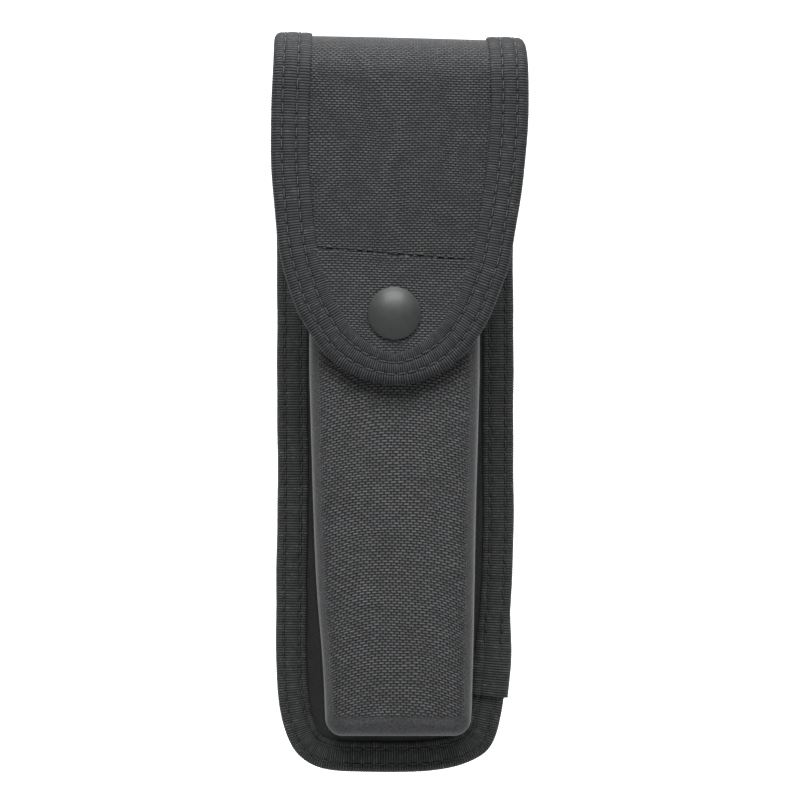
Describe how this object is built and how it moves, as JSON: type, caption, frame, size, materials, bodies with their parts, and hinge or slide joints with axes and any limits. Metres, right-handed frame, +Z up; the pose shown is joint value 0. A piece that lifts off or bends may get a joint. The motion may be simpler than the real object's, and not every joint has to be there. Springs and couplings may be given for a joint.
{
  "type": "flashlight holster",
  "caption": "Moulded black nylon duty-belt holster for a flashlight, with a snap-closed hinged flap and a hook-and-loop belt loop.",
  "frame": {"origin": "middle of the belt tunnel, half way through the belt's thickness and width", "axes": "+X to the right seen from the front and along the belt, -Y out of the front of the holster, +Z up"},
  "size_m": [0.074, 0.0664, 0.2203],
  "materials": {
    "woven_nylon": "coarse plain weave, satin yarns",
    "binding_tape": "ribbed grosgrain, matte",
    "lining_fabric": "smooth woven lining",
    "foam": "closed-cell foam, matte",
    "stiffener_board": "plain board",
    "webbing": "flat woven webbing",
    "black_snap": "satin black enamel",
    "plated_snap": "dark nickel plate",
    "thread": "bonded polyester thread",
    "loop_pile": "soft pile",
    "hook_tape": "moulded hooks"
  },
  "bodies": {
    "pouch": {"shell_outer_fabric": "woven_nylon", "shell_foam_core": "foam", "shell_lining": "lining_fabric", "back_outer_fabric": "woven_nylon", "back_stiffener": "stiffener_board", "back_lining": "lining_fabric", "body_binding": "binding_tape", "back_edge_binding": "binding_tape", "mouth_binding": "binding_tape", "body_binding_stitching": "thread", "snap_stud": "plated_snap", "snap_stud_rivet": "plated_snap", "belt_loop_anchor": "webbing", "belt_loop_anchor_stitching": "thread", "loop_tape": "loop_pile", "belt_snap_studs": "plated_snap"},
    "flap_top": {"flap_top_outer_fabric": "woven_nylon", "flap_top_core": "foam", "flap_top_lining": "lining_fabric", "flap_top_binding": "binding_tape", "flap_top_stitching": "thread"},
    "flap_front": {"flap_front_outer_fabric": "woven_nylon", "flap_front_core": "foam", "flap_front_lining": "lining_fabric", "flap_front_binding": "binding_tape", "flap_front_stitching": "thread", "flap_tip_patch": "woven_nylon", "patch_seam_stitching": "thread", "snap_cap": "black_snap", "snap_socket": "plated_snap"},
    "belt_loop": {"strap_webbing": "webbing", "strap_stiffener": "stiffener_board", "strap_lining": "lining_fabric", "hook_tape": "hook_tape", "strap_stitching": "thread", "belt_snap_caps": "black_snap", "belt_snap_sockets": "plated_snap"}
  },
  "joints": [
    {"name": "flap_lift", "type": "hinge", "parent": "pouch", "child": "flap_top", "pos_m": [0, -0.00739, 0.06602], "axis": [-1, 0, 0], "range_deg": [0, 100]},
    {"name": "flap_fold", "type": "hinge", "parent": "flap_top", "child": "flap_front", "pos_m": [0, -0.05284, 0.06514], "axis": [-1, 0, 0], "range_deg": [0, 70]},
    {"name": "belt_loop_open", "type": "hinge", "parent": "pouch", "child": "belt_loop", "pos_m": [0, -0.0024, 0.041], "axis": [1, 0, 0], "range_deg": [0, 100]}
  ]
}
